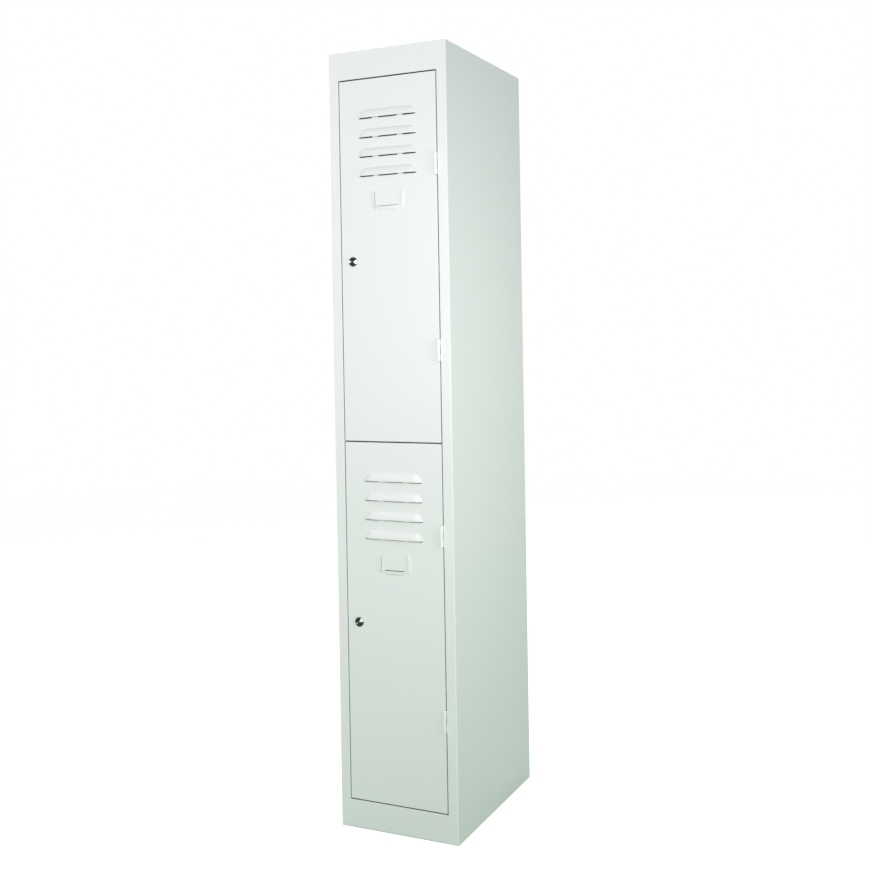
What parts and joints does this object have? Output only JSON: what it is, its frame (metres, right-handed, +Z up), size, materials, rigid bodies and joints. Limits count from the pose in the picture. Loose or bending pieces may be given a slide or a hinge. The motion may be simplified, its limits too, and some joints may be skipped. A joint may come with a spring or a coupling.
{
  "type": "storage locker",
  "caption": "Tall steel storage locker with stacked hinged doors, pressed vent louvres, card holders and cam locks, over compartments with coat hooks.",
  "frame": {"origin": "on the floor, under the middle of the locker's overall box", "axes": "+X to the right seen from the front, +Y to the back, +Z up; the doors face -Y"},
  "size_m": [0.305, 0.461, 1.83],
  "materials": {
    "paint": "satin powder coat",
    "rivet_steel": "satin",
    "hinge_steel": "satin",
    "zinc": "zinc plated",
    "lock_metal": "dark turned metal",
    "wafer_brass": "plain",
    "rubber": "matt"
  },
  "bodies": {
    "cabinet": {"left_side_panel": "paint", "right_side_panel": "paint", "top_panel": "paint", "header_rail": "paint", "kick_plate": "paint", "front_joint_straps": "paint", "bottom_shelf": "paint", "middle_shelf": "paint", "back_panel": "paint", "back_panel_rivets": "rivet_steel", "door_buffers": "rubber", "upper_coat_hook": "zinc", "lower_coat_hook": "zinc", "coat_hook_rivets": "rivet_steel", "upper_door_bottom_hinge_frame_leaf": "paint", "upper_door_bottom_hinge_pin": "hinge_steel", "upper_door_top_hinge_frame_leaf": "paint", "upper_door_top_hinge_pin": "hinge_steel", "lower_door_bottom_hinge_frame_leaf": "paint", "lower_door_bottom_hinge_pin": "hinge_steel", "lower_door_top_hinge_frame_leaf": "paint", "lower_door_top_hinge_pin": "hinge_steel"},
    "upper_door": {"upper_door_skin": "paint", "upper_door_stiffener": "paint", "upper_door_bottom_hinge_door_leaf": "paint", "upper_door_top_hinge_door_leaf": "paint", "upper_lock_body": "lock_metal", "upper_lock_nut": "zinc"},
    "upper_lock": {"upper_lock_plug": "lock_metal", "upper_lock_wafers": "wafer_brass", "upper_lock_cam": "zinc", "upper_lock_cam_screw": "zinc"},
    "lower_door": {"lower_door_skin": "paint", "lower_door_stiffener": "paint", "lower_door_bottom_hinge_door_leaf": "paint", "lower_door_top_hinge_door_leaf": "paint", "lower_lock_body": "lock_metal", "lower_lock_nut": "zinc"},
    "lower_lock": {"lower_lock_plug": "lock_metal", "lower_lock_wafers": "wafer_brass", "lower_lock_cam": "zinc", "lower_lock_cam_screw": "zinc"}
  },
  "joints": [
    {"name": "upper_door_swing", "type": "hinge", "parent": "cabinet", "child": "upper_door", "pos_m": [0.123, -0.2262, 1.34], "axis": [0, 0, 1], "range_deg": [0, 170]},
    {"name": "upper_lock_turn", "type": "hinge", "parent": "upper_door", "child": "upper_lock", "pos_m": [-0.0955, -0.2245, 1.338], "axis": [0, -1, 0], "range_deg": [0, 90]},
    {"name": "lower_door_swing", "type": "hinge", "parent": "cabinet", "child": "lower_door", "pos_m": [0.123, -0.2262, 0.492], "axis": [0, 0, 1], "range_deg": [0, 170]},
    {"name": "lower_lock_turn", "type": "hinge", "parent": "lower_door", "child": "lower_lock", "pos_m": [-0.0955, -0.2245, 0.49], "axis": [0, -1, 0], "range_deg": [0, 90]}
  ]
}
